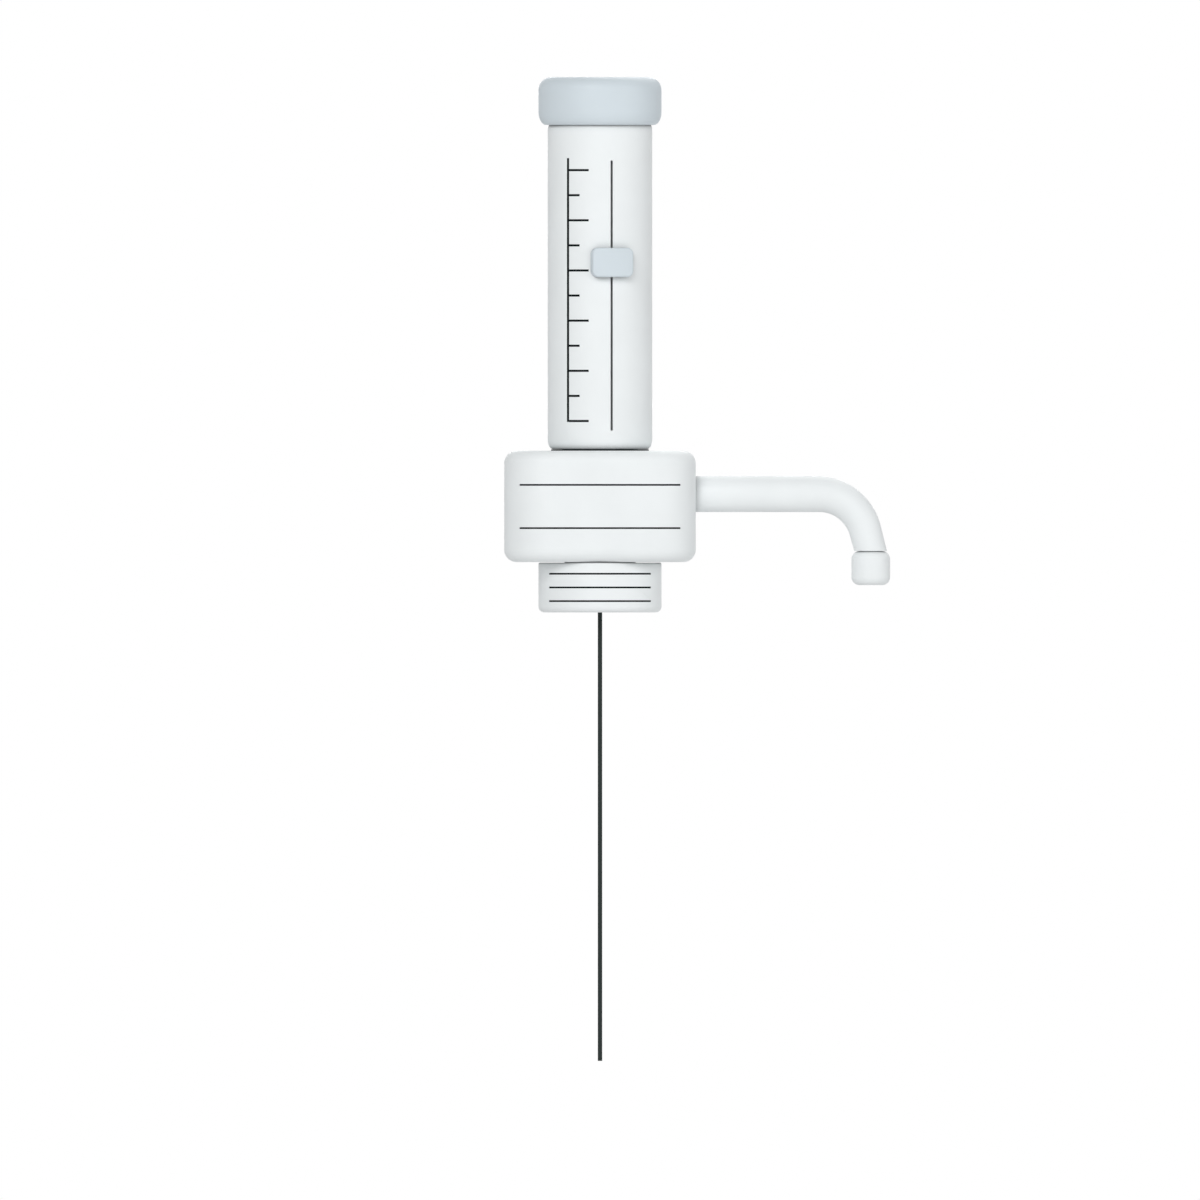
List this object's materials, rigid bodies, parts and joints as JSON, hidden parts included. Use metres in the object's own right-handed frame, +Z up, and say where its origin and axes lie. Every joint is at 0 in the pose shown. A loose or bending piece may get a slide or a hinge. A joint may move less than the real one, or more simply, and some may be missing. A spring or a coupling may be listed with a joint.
{
  "type": "bottle top dispenser",
  "caption": "Screw-on bottle top dispenser: a lifting sleeve with piston and volume pointer over a valve block, with a dip tube and a curved discharge spout with cap.",
  "frame": {"origin": "centre of the gasket's underside, the plane in which the bottle's lip seals", "axes": "+Z up along the piston and the dip tube, -Y towards the user who reads the scale, +X towards the discharge spout"},
  "size_m": [0.1737, 0.0632, 0.4427],
  "materials": {
    "pale_housing": "fine moulded texture, satin",
    "blue_grey_plastic": "fine moulded texture, satin",
    "core_plastic": "machined PTFE-lined block, satin",
    "fluoroplastic": "waxy, translucent white",
    "dark_tube": "smooth extruded tube",
    "seal_rubber": "smooth moulded",
    "borosilicate_glass": "clear, polished",
    "ceramic": "lapped ball",
    "steel": "stainless, plain"
  },
  "bodies": {
    "bottle_collar": {"collar": "pale_housing", "bottle_gasket": "fluoroplastic"},
    "head": {"valve_core": "core_plastic", "retainer_ring": "core_plastic", "inlet_fitting": "fluoroplastic", "dip_tube": "dark_tube", "discharge_cartridge": "fluoroplastic", "discharge_spring": "steel", "spout": "pale_housing", "spout_liner": "fluoroplastic", "spout_seal": "fluoroplastic", "housing_front": "pale_housing", "housing_rear": "pale_housing", "housing_screws": "steel", "vent_plug": "blue_grey_plastic", "vent_filter": "fluoroplastic", "cylinder_seal": "fluoroplastic", "glass_cylinder": "borosilicate_glass", "guide_tube": "core_plastic", "clamp_ring": "core_plastic", "stop_ring": "core_plastic", "bumper_ring": "seal_rubber"},
    "plunger": {"sleeve": "pale_housing", "foot_ring": "core_plastic", "piston_rod": "core_plastic", "piston": "fluoroplastic", "piston_seal": "fluoroplastic", "piston_washer": "steel", "piston_screw": "steel", "cap": "blue_grey_plastic"},
    "volume_pointer": {"pointer": "blue_grey_plastic", "pointer_stop": "steel", "pointer_pin": "steel", "pointer_leaf": "steel"},
    "spout_closure": {"spout_cap": "pale_housing", "spout_cap_seal": "fluoroplastic"},
    "filling_ball": {"fill_ball": "ceramic"},
    "outlet_ball": {"discharge_ball": "ceramic"}
  },
  "joints": [
    {"name": "head_swivel", "type": "hinge", "parent": "bottle_collar", "child": "head", "pos_m": [0, 0, 0], "axis": [0, 0, 1], "continuous": true},
    {"name": "piston_stroke", "type": "slide", "parent": "head", "child": "plunger", "axis": [0, 0, 1], "range_m": [0, 0.04155]},
    {"name": "pointer_slide", "type": "slide", "parent": "plunger", "child": "volume_pointer", "axis": [0, 0, 1], "range_m": [-0.07135, 0.04155]},
    {"name": "spout_cap_pull", "type": "slide", "parent": "head", "child": "spout_closure", "axis": [0, 0, -1], "range_m": [0, 0.02]},
    {"name": "filling_ball_lift", "type": "slide", "parent": "head", "child": "filling_ball", "axis": [0, 0, 1], "range_m": [0, 0.0015]},
    {"name": "discharge_ball_lift", "type": "slide", "parent": "head", "child": "outlet_ball", "axis": [1, 0, 0], "range_m": [0, 0.0012], "stiffness_N_per_m": 150, "springref_m": -0.002, "deforming": ["discharge_spring"]}
  ]
}
